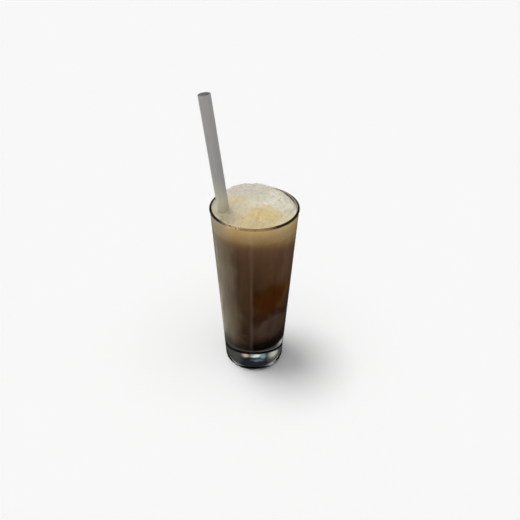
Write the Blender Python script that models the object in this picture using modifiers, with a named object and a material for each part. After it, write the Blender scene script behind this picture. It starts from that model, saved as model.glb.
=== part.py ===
"""An ice cream float: a tall tapered tumbler with a heavy base, full of dark milky soda under
a mounded creamy head, with a wide frosted straw that leans to the left.

Units are metres, +Z is up, and the origin is the centre of the tumbler's flat foot.
The side that faces the viewer is -Y, and the viewer's right is +X.
"""

import math
import random

import bmesh
import bpy
from mathutils import Matrix, Vector

COLLECTION = "ice_cream_float"
CUTTERS = "cutters"
MERGE = 0.00001
GAP = 0.0003

# Tumbler: the flank is a straight cone from the foot to the rim, with a rolled bead on top
GLASS_HEIGHT = 0.1732
FOOT_RADIUS = 0.0287
FLANK_TOP_RADIUS = 0.0388
RIM_RADIUS = 0.0393
HEEL_ROUND = 0.0045
LIP_ROUND = 0.0012
BEAD_HEIGHT = 0.0036
WALL_AT_RIM = 0.0020
WALL_AT_BASE = 0.0026
BASE_THICKNESS = 0.0252
WELL_ROUND = 0.0100
GLASS_STEPS = 64
ARC_STEPS = 7

# Head of foam: where it starts, how far its edge lies below the rim, and the mound on it
HEAD_UNDERSIDE = 0.1560
EDGE_DROP = 0.0026
EDGE_DROP_CHANGE = 0.0012
EDGE_DROP_TURN = math.radians(20)
MOUND_CENTRE = Vector((-0.002, 0.010))
MOUND_HEIGHT = 0.0082
MOUND_SPREAD = 0.0360
MOUND_POWER = 4
SHOULDER_POWER = 24
HEAD_STEPS = 72
HEAD_RINGS = 20

# Rings left on the back of the mound as the foam rose
RIPPLE_CENTRE = Vector((-0.002, 0.002))
RIPPLE_SPACING = 0.0042
RIPPLE_HEIGHT = 0.00035

# Soft lumps all over the head: their height, and how far one is from the next
LUMP_HEIGHT = 0.0004
LUMP_SPACING = Vector((0.0150, 0.0170))

# Bubbles that stand on the head, largest round one spot in front
BUBBLES = 30
BUBBLE_SMALL = 0.0009
BUBBLE_LARGE = 0.0023
BUBBLE_CLUSTER = Vector((0.0065, -0.0150))
BUBBLE_SCATTER = 0.0150
BUBBLE_SPACING = 1.15
BUBBLE_REGION = 0.84
BUBBLE_SINK = 0.35
BUBBLE_STRAW_ROOM = 0.0060
BUBBLE_SEED = 7

# Straw: a point of its axis near the foam, its lean in metres for each metre of height, how
# far its mouth lies up the axis from that point, and its tube
STRAW_POINT = Vector((-0.0254, -0.0105, 0.1682))
STRAW_LEAN = Vector((-0.120, 0.013, 1.0))
STRAW_TO_MOUTH = 0.1061
STRAW_FOOT_CLEARANCE = 0.0011
STRAW_RADIUS = 0.00505
STRAW_WALL = 0.0005
STRAW_STEPS = 36


def clear_scene():
    """Removes what the start-up file holds."""
    for obj in list(bpy.data.objects):
        bpy.data.objects.remove(obj)


def add_collection(name, rendered=True):
    """A new collection in the scene."""
    made = bpy.data.collections.new(name)
    made.hide_render = not rendered
    bpy.context.scene.collection.children.link(made)
    return made


def add_material(name, colour, roughness, transmission=0.0):
    """A Principled material with the part's own colour and finish."""
    made = bpy.data.materials.new(name)
    made.use_nodes = True
    shader = made.node_tree.nodes["Principled BSDF"]
    shader.inputs["Base Color"].default_value = (*colour, 1.0)
    shader.inputs["Roughness"].default_value = roughness
    shader.inputs["Metallic"].default_value = 0.0
    shader.inputs["Transmission Weight"].default_value = transmission
    return made


def add_mesh_object(name, mesh, home):
    """An object for a mesh, in its collection."""
    obj = bpy.data.objects.new(name, mesh)
    home.objects.link(obj)
    return obj


def arc(centre, radius, start, end, steps=ARC_STEPS):
    """Points (r, z) on an arc of the profile plane, from one angle to another in degrees."""
    angles = [math.radians(start + (end - start) * i / steps) for i in range(steps + 1)]
    return [(centre[0] + radius * math.cos(a), centre[1] + radius * math.sin(a)) for a in angles]


def outer_radius(z):
    """The tumbler's outside radius on its straight flank."""
    return FOOT_RADIUS + (FLANK_TOP_RADIUS - FOOT_RADIUS) * z / GLASS_HEIGHT


def inner_radius(z):
    """The tumbler's inside radius, where the wall thickens towards the base."""
    return outer_radius(z) - WALL_AT_BASE + (WALL_AT_BASE - WALL_AT_RIM) * z / GLASS_HEIGHT


def well_profile(inset):
    """The rounded inside bottom, from the axis out to the wall, moved inwards by inset."""
    turn = BASE_THICKNESS + WELL_ROUND
    centre = (inner_radius(turn) - WELL_ROUND, turn)
    return [(0.0, BASE_THICKNESS + inset), *arc(centre, WELL_ROUND - inset, -90, 0)]


def tumbler_profile():
    """The section from the inside bottom up the wall, over the lip and down to the foot."""
    bead_foot = GLASS_HEIGHT - BEAD_HEIGHT
    lip = (RIM_RADIUS - LIP_ROUND, GLASS_HEIGHT - LIP_ROUND)
    heel = (outer_radius(HEEL_ROUND) - HEEL_ROUND, HEEL_ROUND)
    return [
        *well_profile(0.0),
        (inner_radius(bead_foot), bead_foot),
        *arc(lip, LIP_ROUND, 180, 0),
        (outer_radius(bead_foot), bead_foot),
        *arc(heel, HEEL_ROUND, 0, -90),
        (0.0, 0.0),
    ]


def drink_profile():
    """The section of the drink, from its top down the wall to its rounded bottom."""
    top = HEAD_UNDERSIDE - GAP
    bottom = well_profile(GAP)
    return [(0.0, top), (inner_radius(top) - GAP, top), *reversed(bottom)]


def head_profile():
    """The section of the head before its top is shaped: a flat disc in even rings."""
    edge = GLASS_HEIGHT - EDGE_DROP
    radius = inner_radius(edge) - GAP
    top = [(radius * i / HEAD_RINGS, edge) for i in range(HEAD_RINGS + 1)]
    return [*top, (inner_radius(HEAD_UNDERSIDE) - GAP, HEAD_UNDERSIDE), (0.0, HEAD_UNDERSIDE)]


def straw_profile():
    """The closed section of the straw's tube, round from the top of its outside."""
    inside = STRAW_RADIUS - STRAW_WALL
    top = straw_length()
    return [(STRAW_RADIUS, top), (STRAW_RADIUS, 0.0), (inside, 0.0), (inside, top)]


def add_turned(name, profile, steps, home, closed=False):
    """A profile of points (r, z), swept a full turn round Z by a Screw modifier."""
    mesh = bpy.data.meshes.new(name)
    edges = [(i, i + 1) for i in range(len(profile) - 1)]
    if closed:
        edges.append((len(profile) - 1, 0))
    mesh.from_pydata([(r, 0.0, z) for r, z in profile], edges, [])
    obj = add_mesh_object(name, mesh, home)
    turn = obj.modifiers.new("Turn", "SCREW")
    turn.axis = "Z"
    turn.steps = steps
    turn.render_steps = steps
    turn.use_smooth_shade = True
    turn.use_merge_vertices = True
    turn.merge_threshold = MERGE
    return obj


def apply_modifiers(obj):
    """Makes what the modifiers show the object's own mesh."""
    graph = bpy.context.evaluated_depsgraph_get()
    graph.update()
    shaped = bpy.data.meshes.new_from_object(obj.evaluated_get(graph))
    obj.modifiers.clear()
    obj.data = shaped


def add_boolean(obj, operation, other):
    """Cuts an object with another, or joins a whole collection to it."""
    change = obj.modifiers.new(operation.title(), "BOOLEAN")
    change.operation = operation
    if isinstance(other, bpy.types.Collection):
        change.operand_type = "COLLECTION"
        change.collection = other
    else:
        change.object = other
    change.solver = "EXACT"


def give_material(obj, material):
    """Makes a material the only one of an object."""
    obj.data.materials.clear()
    obj.data.materials.append(material)


def edge_drop(angle):
    """How far below the rim the foam meets the wall, all the way round."""
    return EDGE_DROP + EDGE_DROP_CHANGE * math.cos(2 * (angle - EDGE_DROP_TURN))


def head_top(x, y):
    """The height of the foam: its edge, the mound, the rings behind it and soft lumps."""
    place = Vector((x, y))
    reach = min(place.length / inner_radius(GLASS_HEIGHT), 1.0)
    away = (place - MOUND_CENTRE).length
    mound = MOUND_HEIGHT * math.exp(-((away / MOUND_SPREAD) ** MOUND_POWER))
    ring = place - RIPPLE_CENTRE
    behind = max(ring.normalized().y, 0.0) if ring.length > RIPPLE_SPACING else 0.0
    ripple = RIPPLE_HEIGHT * behind * math.sin(math.tau * ring.length / RIPPLE_SPACING)
    lump = LUMP_HEIGHT * math.sin(math.tau * x / LUMP_SPACING.x) * math.cos(math.tau * y / LUMP_SPACING.y)
    drop = edge_drop(math.atan2(y, x)) * reach**2 + EDGE_DROP * (1.0 - reach**2)
    inland = 1.0 - reach**SHOULDER_POWER
    return GLASS_HEIGHT - drop + (mound + ripple + lump) * inland


def shape_head(obj):
    """Lifts the flat top of the head to its height, and keeps its edge on the wall."""
    flat = GLASS_HEIGHT - EDGE_DROP
    flat_radius = inner_radius(flat) - GAP
    for vertex in obj.data.vertices:
        if vertex.co.z < flat - MERGE:
            continue
        place = vertex.co.xy
        height = head_top(*place)
        reach = place.length / flat_radius
        widen = 1.0 + reach**SHOULDER_POWER * ((inner_radius(height) - GAP) / flat_radius - 1.0)
        vertex.co = Vector((place.x * widen, place.y * widen, height))


def straw_direction():
    """The straw's axis, pointing up."""
    return STRAW_LEAN.normalized()


def straw_at(height):
    """The point of the straw's axis at a height above the foot."""
    return STRAW_POINT + STRAW_LEAN * (height - STRAW_POINT.z)


def straw_length():
    """The straw's length from the inside bottom of the tumbler to its mouth."""
    foot = straw_at(BASE_THICKNESS + STRAW_FOOT_CLEARANCE)
    return STRAW_TO_MOUTH + (STRAW_POINT - foot).length


def stand_along_straw(obj, foot):
    """Leans an object that was made upright along the straw's axis."""
    turn = Vector((0, 0, 1)).rotation_difference(straw_direction())
    obj.matrix_world = Matrix.Translation(foot) @ turn.to_matrix().to_4x4()


def bubble_places():
    """Places and radii of the bubbles, spread by a seeded draw so that none touch."""
    draw = random.Random(BUBBLE_SEED)
    reach = inner_radius(GLASS_HEIGHT) * BUBBLE_REGION
    straw = straw_at(GLASS_HEIGHT).xy
    placed = []
    while len(placed) < BUBBLES:
        offset = Vector((draw.gauss(0.0, BUBBLE_SCATTER), draw.gauss(0.0, BUBBLE_SCATTER)))
        spot = BUBBLE_CLUSTER + offset
        swell = draw.random() * math.exp(-offset.length / BUBBLE_SCATTER)
        radius = BUBBLE_SMALL + (BUBBLE_LARGE - BUBBLE_SMALL) * swell
        clear = all((spot - s).length > (radius + r) * BUBBLE_SPACING for s, r in placed)
        off_straw = (spot - straw).length > STRAW_RADIUS + BUBBLE_STRAW_ROOM + radius
        if spot.length < reach and clear and off_straw:
            placed.append((spot, radius))
    return placed


def add_bubbles(head):
    """Joins domes of bubbles to the head by one union."""
    group = add_collection("bubbles")
    for spot, radius in bubble_places():
        ball = bmesh.new()
        bmesh.ops.create_icosphere(ball, subdivisions=2, radius=radius)
        mesh = bpy.data.meshes.new("bubble")
        ball.to_mesh(mesh)
        ball.free()
        bubble = add_mesh_object("bubble", mesh, group)
        bubble.location = (*spot, head_top(*spot) - radius * BUBBLE_SINK)
    add_boolean(head, "UNION", group)
    apply_modifiers(head)
    for bubble in list(group.objects):
        bpy.data.objects.remove(bubble)
    bpy.data.collections.remove(group)


def add_straw_cutter(home):
    """The straw's outside with its gap, from below the drink's bottom, to cut room with."""
    bpy.ops.mesh.primitive_cylinder_add(
        vertices=STRAW_STEPS, radius=STRAW_RADIUS + GAP, depth=straw_length()
    )
    cutter = bpy.context.active_object
    cutter.name = "straw_cutter"
    for other in list(cutter.users_collection):
        other.objects.unlink(cutter)
    home.objects.link(cutter)
    cutter.hide_render = True
    cutter.display_type = "WIRE"
    middle = straw_at(BASE_THICKNESS - 2 * GAP) + straw_direction() * straw_length() / 2
    stand_along_straw(cutter, middle)
    return cutter


def add_tumbler(home):
    """The clear tumbler with its heavy base."""
    glass = add_turned("glass", tumbler_profile(), GLASS_STEPS, home)
    give_material(glass, add_material("clear_glass", (0.93, 0.95, 0.94), 0.03, transmission=1.0))


def add_drink(home, cutter):
    """The soda up to the foam, cut round the straw."""
    drink = add_turned("drink", drink_profile(), GLASS_STEPS, home)
    add_boolean(drink, "DIFFERENCE", cutter)
    give_material(drink, add_material("dark_soda", (0.075, 0.042, 0.023), 0.25))


def add_head(home, cutter):
    """The mounded foam, with its bubbles, cut round the straw."""
    head = add_turned("foam_head", head_profile(), HEAD_STEPS, home)
    apply_modifiers(head)
    shape_head(head)
    add_bubbles(head)
    add_boolean(head, "DIFFERENCE", cutter)
    give_material(head, add_material("cream_foam", (0.72, 0.62, 0.43), 0.6))
    head.data.shade_smooth()


def add_straw(home):
    """The frosted straw, from the bottom of the tumbler out over its left side."""
    straw = add_turned("straw", straw_profile(), STRAW_STEPS, home, closed=True)
    stand_along_straw(straw, straw_at(BASE_THICKNESS + STRAW_FOOT_CLEARANCE))
    give_material(straw, add_material("frosted_straw", (0.55, 0.55, 0.53), 0.45))


def main():
    """Builds the whole float."""
    clear_scene()
    parts = add_collection(COLLECTION)
    cutters = add_collection(CUTTERS, rendered=False)
    cutter = add_straw_cutter(cutters)
    add_tumbler(parts)
    add_drink(parts, cutter)
    add_head(parts, cutter)
    add_straw(parts)


main()
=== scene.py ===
"""Dresses the packed ice cream float: a clear tumbler, cloudy soda that reaches its wall, a head of
cream foam with standing bubbles, and a frosted straw. Lengths are metres in the frame's axes."""

import math
import random

import bpy
import numpy as np
from bpy.props import FloatProperty, FloatVectorProperty, IntProperty, PointerProperty
from mathutils import Matrix, Vector


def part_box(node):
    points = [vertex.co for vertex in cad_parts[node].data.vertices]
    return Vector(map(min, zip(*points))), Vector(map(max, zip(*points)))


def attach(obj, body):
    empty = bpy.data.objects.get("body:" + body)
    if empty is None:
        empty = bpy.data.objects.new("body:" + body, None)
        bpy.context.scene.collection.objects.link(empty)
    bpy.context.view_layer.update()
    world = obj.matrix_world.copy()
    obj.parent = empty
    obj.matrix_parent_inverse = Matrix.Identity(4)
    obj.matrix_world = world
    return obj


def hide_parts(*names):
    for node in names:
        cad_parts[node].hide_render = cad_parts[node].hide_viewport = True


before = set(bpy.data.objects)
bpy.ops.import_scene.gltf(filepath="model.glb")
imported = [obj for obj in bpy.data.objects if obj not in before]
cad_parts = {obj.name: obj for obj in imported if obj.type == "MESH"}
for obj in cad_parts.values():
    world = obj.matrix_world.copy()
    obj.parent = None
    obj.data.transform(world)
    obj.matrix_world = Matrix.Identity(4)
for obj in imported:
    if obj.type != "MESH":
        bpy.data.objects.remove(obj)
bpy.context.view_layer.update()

bl_info = {
    "name": "Ice Cream Float",
    "version": (1, 0, 0),
    "blender": (4, 5, 0),
    "location": "3D View > Sidebar > Float",
    "description": "Glass, soda, foam and straw round a packed ice cream float",
    "category": "Object",
}

BODY = "root"
GLASS_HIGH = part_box("glass")[1]
HEIGHT = float(GLASS_HIGH[2])
RIM_RADIUS = float(GLASS_HIGH[0])
HEAD_UNDERSIDE = float(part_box("foam_head")[0][2])


def metres(name, description, default):
    """A length in metres, shown with its unit."""
    return FloatProperty(
        name=name, description=description, default=default, unit="LENGTH", precision=5
    )


def paint(name, description, default):
    """A colour of three linear numbers."""
    return FloatVectorProperty(
        name=name, description=description, default=default, subtype="COLOR", size=3, min=0, max=1
    )


class TumblerSettings(bpy.types.PropertyGroup):
    """Sizes and finish of the glass."""

    foot_radius: metres("Foot radius", "Flank radius at the foot", 0.0287)
    flank_top_radius: metres("Flank top radius", "Flank radius at the rim", 0.0388)
    heel_round: metres("Heel round", "Radius of the rounded heel", 0.0045)
    lip_round: metres("Lip round", "Radius of the rounded lip", 0.0012)
    bead_height: metres("Bead height", "How far the rim's bead reaches down", 0.0036)
    wall_at_rim: metres("Wall at rim", "Thickness of the wall at the rim", 0.0020)
    wall_at_base: metres("Wall at base", "Thickness of the wall at the foot", 0.0026)
    base_thickness: metres("Base", "Thickness of the heavy base", 0.0252)
    well_round: metres("Well round", "Radius inside, between wall and bottom", 0.0100)
    hollow_radius: metres("Hollow radius", "Radius of the hollow under the foot", 0.0225)
    hollow_depth: metres("Hollow depth", "Depth of the hollow under the foot", 0.0008)
    tint: paint("Tint", "Colour of the clear glass", (0.985, 0.995, 0.988))
    # The lip colours are painted: a dark line standing in for the dark surroundings that the lip
    # bends into view, paler in front and at the back right.
    lip: paint("Lip", "The dark line where the lip bends light", (0.003, 0.003, 0.003))
    painted_lip_front: paint("Lip in front", "The same line in front", (0.53, 0.41, 0.33))
    painted_lip_back: paint("Lip at the back", "The same line at the back", (0.42, 0.40, 0.37))


class SodaSettings(bpy.types.PropertyGroup):
    """Colours of the drink."""

    reach: metres("Reach into wall", "How far drink and foam reach into the wall", 0.0003)
    amber: paint("Amber", "The clear pocket of soda", (0.140, 0.043, 0.005))
    honey: paint("Honey", "The paler side of that pocket", (0.310, 0.125, 0.030))
    dregs: paint("Dregs", "The dark line below that pocket", (0.085, 0.028, 0.012))
    cloud: paint("Cloud", "Milk that sinks through the soda", (0.165, 0.095, 0.065))
    veil: paint("Veil", "The cloud's paler upper edge", (0.210, 0.138, 0.098))
    # Partly painted light: this colour makes the soda's left side paler, as light falls on that
    # side.
    milk_and_painted_light: paint("Olive", "Milk near the wall", (0.300, 0.220, 0.120))
    rose: paint("Rose", "Paler brown below the foam", (0.340, 0.185, 0.105))


class FoamSettings(bpy.types.PropertyGroup):
    """Form and colours of the head."""

    edge_drop: metres("Edge drop", "Mean drop of the foam's edge below the rim", 0.0026)
    edge_change: metres("Edge change", "How much that drop changes", 0.0012)
    mound_height: metres("Mound height", "Height of the mound over its edge", 0.0082)
    mound_spread: metres("Mound spread", "Radius of the mound", 0.0360)
    cream: paint("Cream", "The dry foam at the back", (0.69, 0.65, 0.57))
    froth: paint("Froth", "The palest foam on the right", (0.84, 0.80, 0.70))
    ivory: paint("Ivory", "The foam between", (0.74, 0.67, 0.50))
    butter: paint("Butter", "The wetter, yellower foam in front", (0.72, 0.57, 0.27))
    puddle: paint("Puddle", "The thin foam at the straw", (0.50, 0.43, 0.28))
    # Partly painted light: a greyer left side against the wall, like the soda's paler left side.
    shade: paint("Shade", "The foam's greyer side against the wall", (0.42, 0.38, 0.29))
    fine_bubbles: IntProperty(name="Fine bubbles", description="Small bubbles on it", default=70)
    seed: IntProperty(name="Seed", description="Seed of the small bubbles' places", default=11)


class StrawSettings(bpy.types.PropertyGroup):
    """Size and colour of the straw."""

    radius: metres("Radius", "Outside radius of the straw", 0.00505)
    wall: metres("Wall", "Thickness of its wall", 0.00035)
    frost: paint("Frost", "Colour of the frosted plastic", (0.75, 0.74, 0.72))
    # Partly painted light: the foam's tone, painted brighter as lit by the foam around the straw's
    # foot.
    foam_tone_and_painted_light: paint("Foamed", "The same with foam behind it", (1.00, 0.93, 0.68))


class StageSettings(bpy.types.PropertyGroup):
    """Floor, camera and lights."""

    floor_colour: paint("Floor", "Colour of the pale floor", (0.98, 0.98, 0.975))
    key: FloatProperty(name="Key", description="Strength of the light overhead", default=1.5)
    sky: FloatProperty(name="Sky", description="Strength of the soft light all round", default=1.25)


# Shared geometry

SHARP_ANGLE = math.radians(60)
PROFILE_STEP = 0.004
WAVE_SPREAD = (0.7, 1.5)


def arc(centre, radius, start, end, steps=14):
    """Points (r, z) on a circle's arc: centre plus radius times cosine and sine of each angle."""
    angle = np.radians(np.linspace(start, end, steps + 1))
    return np.stack([centre[0] + radius * np.cos(angle), centre[1] + radius * np.sin(angle)], 1)


def spaced(profile, step):
    """The same profile, with each straight stretch cut into even pieces no longer than step."""
    pieces = []
    for start, end in zip(profile[:-1], profile[1:]):
        count = max(1, math.ceil(np.linalg.norm(end - start) / step))
        pieces.append(start + (end - start) * np.linspace(0, 1, count, endpoint=False)[:, None])
    return np.concatenate([*pieces, profile[-1:]])


def turned_rows(profile, columns):
    """Rows of a turned surface: each (r, z) becomes r cos t, r sin t, z for t round the circle."""
    angle = np.linspace(0, math.tau, columns, endpoint=False)
    radius, height = profile[:, :1], profile[:, 1:]
    level = np.broadcast_to(height, (len(profile), columns))
    return np.stack([radius * np.cos(angle), radius * np.sin(angle), level], -1)


def row_quads(rows, columns, first=0, wrap_rows=False):
    """Quads between each row and the next, closed round the columns, facing out on a surface
    whose rows run down its outer side."""
    row = np.arange(rows if wrap_rows else rows - 1)[:, None]
    column = np.arange(columns)[None, :]
    below, beside = (row + 1) % rows, (column + 1) % columns
    corners = [(row, column), (below, column), (below, beside), (row, beside)]
    return first + np.stack([r * columns + c for r, c in corners], -1).reshape(-1, 4)


def fan(pole, ring, facing_down=False):
    """Triangles from a pole to each edge of a ring of vertex numbers."""
    beside = np.roll(ring, -1)
    centre = np.full_like(ring, pole)
    return np.stack([centre, beside, ring] if facing_down else [centre, ring, beside], -1)


def turned_faces(rows, columns):
    """Quads between the rows of a turned surface, and the fans of its first and last row round
    the two poles that come after the rows."""
    count = rows * columns
    ring = np.arange(columns)
    ends = [fan(count, ring), fan(count + 1, ring + count - columns, facing_down=True)]
    return row_quads(rows, columns), np.concatenate(ends)


def mesh_piece(name, points, quads, triangles, slot, nodes=()):
    """A smooth object of these faces at the origin, riding on the body, in place of CAD nodes."""
    mesh = bpy.data.meshes.new(name)
    mesh.from_pydata(points.reshape(-1, 3).tolist(), [], quads.tolist() + triangles.tolist())
    mesh.shade_smooth()
    mesh.set_sharp_from_angle(angle=SHARP_ANGLE)
    mesh.validate()
    piece = bpy.data.objects.new(name, mesh)
    bpy.context.scene.collection.objects.link(piece)
    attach(piece, BODY)
    if nodes:
        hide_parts(*nodes)
    return piece


def turned_piece(name, profile, columns, slot, nodes):
    """A turned solid whose profile starts and ends on the axis."""
    rows = turned_rows(profile[1:-1], columns)
    poles = np.array([[0, 0, profile[0][1]], [0, 0, profile[-1][1]]])
    points = np.concatenate([rows.reshape(-1, 3), poles])
    return mesh_piece(name, points, *turned_faces(len(rows), columns), slot, nodes)


def plane_waves(x, y, spacing, count, draw):
    """A soft random height of about one: the mean of sine waves in random directions, whose
    crests lie about spacing apart, times the root of twice their number."""
    heading, phase = draw.uniform(0, math.tau, (2, count))
    pitch = math.tau / (spacing * draw.uniform(*WAVE_SPREAD, count))
    along = x[..., None] * np.cos(heading) + y[..., None] * np.sin(heading)
    return np.sin(pitch * along + phase).mean(-1) * math.sqrt(2 * count)


# The tumbler and the soda

TUMBLER_COLUMNS = 256
SODA_COLUMNS = 192
HOLLOW_STEPS = 24


def outer_radius(z):
    """The flank's radius: a straight line from the foot's to the rim's."""
    glass = bpy.context.scene.float_tumbler
    return glass.foot_radius + (glass.flank_top_radius - glass.foot_radius) * z / HEIGHT


def inner_radius(z):
    """The inside radius: the flank less a wall that thickens evenly towards the foot."""
    glass = bpy.context.scene.float_tumbler
    thinning = (glass.wall_at_base - glass.wall_at_rim) * z / HEIGHT
    return outer_radius(z) - glass.wall_at_base + thinning


def well_profile(outset):
    """The inside bottom from the axis to the wall: a flat disc, then a quarter circle, both moved
    outwards by outset."""
    glass = bpy.context.scene.float_tumbler
    turn = glass.base_thickness + glass.well_round
    centre = (inner_radius(turn) - glass.well_round, turn)
    corner = arc(centre, glass.well_round + outset, -90, 0, steps=24)
    return np.concatenate([[[0.0, glass.base_thickness - outset]], corner])


def hollow_profile():
    """The shallow hollow under the foot, from its ring to the axis: its depth times one less the
    squared share of its radius."""
    glass = bpy.context.scene.float_tumbler
    share = np.linspace(1, 0, HOLLOW_STEPS + 1)
    return np.stack([glass.hollow_radius * share, glass.hollow_depth * (1 - share**2)], 1)


def tumbler_profile():
    """Up the inside from the axis, over a half circle at the lip, down the flank, round the
    heel's quarter circle to the ring that it stands on, and into the hollow."""
    glass = bpy.context.scene.float_tumbler
    bead_foot = HEIGHT - glass.bead_height
    lip = (RIM_RADIUS - glass.lip_round, HEIGHT - glass.lip_round)
    heel = (outer_radius(glass.heel_round) - glass.heel_round, glass.heel_round)
    return np.concatenate([
        well_profile(0.0),
        [[inner_radius(bead_foot), bead_foot]],
        arc(lip, glass.lip_round, 180, 0, steps=20),
        [[outer_radius(bead_foot), bead_foot]],
        arc(heel, glass.heel_round, 0, -90),
        hollow_profile(),
    ])


def soda_profile():
    """From the axis at the foam's underside out to the wall, down it, and round the inside bottom
    to the axis, all just inside the glass."""
    reach = bpy.context.scene.float_soda.reach
    side = [[inner_radius(HEAD_UNDERSIDE) + reach, HEAD_UNDERSIDE]]
    return np.concatenate([[[0.0, HEAD_UNDERSIDE]], side, well_profile(reach)[::-1]])


# The straw

STRAW_POINT = np.array([-0.0254, -0.0105, 0.1682])
STRAW_LEAN = np.array([-0.120, 0.013, 1.0])
STRAW_TO_MOUTH = 0.1061
STRAW_FOOT_CLEARANCE = 0.0011
STRAW_COLUMNS = 96
STRAW_STEP = 0.006


def straw_at(height):
    """The point of the straw's axis at a height: one known point plus the lean times the rise."""
    return STRAW_POINT + STRAW_LEAN * (height - STRAW_POINT[2])


def straw_rows():
    """Rows of the tube: a closed section of outside, foot, inside and a rounded lip, carried
    round the leaning axis, so each point is foot + axis s + (u cos t + v sin t) r."""
    straw = bpy.context.scene.float_straw
    axis = STRAW_LEAN / np.linalg.norm(STRAW_LEAN)
    foot = straw_at(bpy.context.scene.float_tumbler.base_thickness + STRAW_FOOT_CLEARANCE)
    length = STRAW_TO_MOUTH + np.linalg.norm(STRAW_POINT - foot)
    inside, lip = straw.radius - straw.wall, straw.wall / 2
    rim = arc((straw.radius - lip, length - lip), lip, 180, 0, steps=8)
    section = spaced(np.concatenate([[[inside, 0.0]], rim, [[straw.radius, 0.0]]]), STRAW_STEP)
    u = np.cross(axis, [0.0, 1.0, 0.0])
    u /= np.linalg.norm(u)
    v = np.cross(axis, u)
    turn = np.linspace(0, math.tau, STRAW_COLUMNS, endpoint=False)[:, None]
    round_axis = u * np.cos(turn) + v * np.sin(turn)
    return foot + axis * section[:, 1, None, None] + round_axis[None] * section[:, 0, None, None]


# The head's form, as the solid has it

MOUND_CENTRE = (-0.002, 0.010)
MOUND_POWER = 4
SHOULDER_POWER = 24
EDGE_TURN = math.radians(20)
RIPPLE_CENTRE = (-0.002, 0.002)
RIPPLE_SPACING = 0.0042
RIPPLE_HEIGHT = 0.00035
LUMP_HEIGHT = 0.0004
LUMP_SPACING = (0.0150, 0.0170)
TINY = 1e-9
BUBBLES = 30
BUBBLE_SMALL = 0.0009
BUBBLE_LARGE = 0.0023
BUBBLE_CLUSTER = (0.0065, -0.0150)
BUBBLE_SCATTER = 0.0150
BUBBLE_SPACING = 1.15
BUBBLE_REGION = 0.84
BUBBLE_SINK = 0.35
BUBBLE_STRAW_ROOM = 0.0060
BUBBLE_SEED = 7


def head_top(x, y):
    """The solid's height of foam: the rim less the edge's drop, plus a mound that falls off as
    the exponential of a power of distance, rings on its back, and lumps of crossed sines."""
    foam = bpy.context.scene.float_foam
    distance = np.hypot(x, y)
    reach = np.minimum(distance / inner_radius(HEIGHT), 1.0)
    away = np.hypot(x - MOUND_CENTRE[0], y - MOUND_CENTRE[1])
    mound = foam.mound_height * np.exp(-((away / foam.mound_spread) ** MOUND_POWER))
    ring = np.hypot(x - RIPPLE_CENTRE[0], y - RIPPLE_CENTRE[1])
    back = np.maximum((y - RIPPLE_CENTRE[1]) / np.maximum(ring, TINY), 0)
    behind = np.where(ring > RIPPLE_SPACING, back, 0)
    ripple = RIPPLE_HEIGHT * behind * np.sin(math.tau * ring / RIPPLE_SPACING)
    turn_x, turn_y = math.tau * x / LUMP_SPACING[0], math.tau * y / LUMP_SPACING[1]
    lump = LUMP_HEIGHT * np.sin(turn_x) * np.cos(turn_y)
    edge = foam.edge_drop + foam.edge_change * np.cos(2 * (np.arctan2(y, x) - EDGE_TURN))
    drop = edge * reach**2 + foam.edge_drop * (1 - reach**2)
    return HEIGHT - drop + (mound + ripple + lump) * (1 - reach**SHOULDER_POWER)


def large_bubbles():
    """The solid's own bubbles, rows of x, y and radius: a seeded draw round one spot in front,
    where each radius falls off as the exponential of its distance from that spot."""
    draw = random.Random(BUBBLE_SEED)
    limit = inner_radius(HEIGHT) * BUBBLE_REGION
    straw, straw_radius = straw_at(HEIGHT)[:2], bpy.context.scene.float_straw.radius
    placed = np.empty((0, 3))
    while len(placed) < BUBBLES:
        offset = np.array([draw.gauss(0.0, BUBBLE_SCATTER), draw.gauss(0.0, BUBBLE_SCATTER)])
        spot = offset + BUBBLE_CLUSTER
        swell = draw.random() * math.exp(-np.hypot(*offset) / BUBBLE_SCATTER)
        radius = BUBBLE_SMALL + (BUBBLE_LARGE - BUBBLE_SMALL) * swell
        room = np.hypot(*(placed[:, :2] - spot).T) - (radius + placed[:, 2]) * BUBBLE_SPACING
        straw_room = np.hypot(*(spot - straw)) - straw_radius - BUBBLE_STRAW_ROOM
        if np.hypot(*spot) < limit and (room > 0).all() and straw_room > radius:
            placed = np.concatenate([placed, [[*spot, radius]]])
    return placed


# The head's finer relief

FINE_TRIES = 3
FINE_SMALL, FINE_GROWTH = 0.00030, 0.00065
FINE_OVERLAP = 0.95
FINE_WALL_ROOM = 0.0005
FINE_STRAW_ROOM = 0.0012
FROTH_WAVES = ((0.00018, 0.0046, 26), (0.00007, 0.0017, 30))
BOWL_DEPTH = 0.20
WALL_CLIMB, WALL_CLIMB_REACH = 0.0005, 0.0008
STRAW_CLIMB, STRAW_CLIMB_REACH, STRAW_CLIMB_POWER = 0.0015, 0.0034, 1.4
HEAD_GRID = 270
WALL_ROWS = 9
WALL_TOLERANCE = 0.00005
BUBBLE_SIDES = 12
BUBBLE_ROWS = 5
BUBBLE_FALL = (0.18, 1.45)


def distance_from(rows, centre=(0.0, 0.0)):
    """How far each row's x and y lie from a centre."""
    return np.hypot(rows[:, 0] - centre[0], rows[:, 1] - centre[1])


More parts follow.
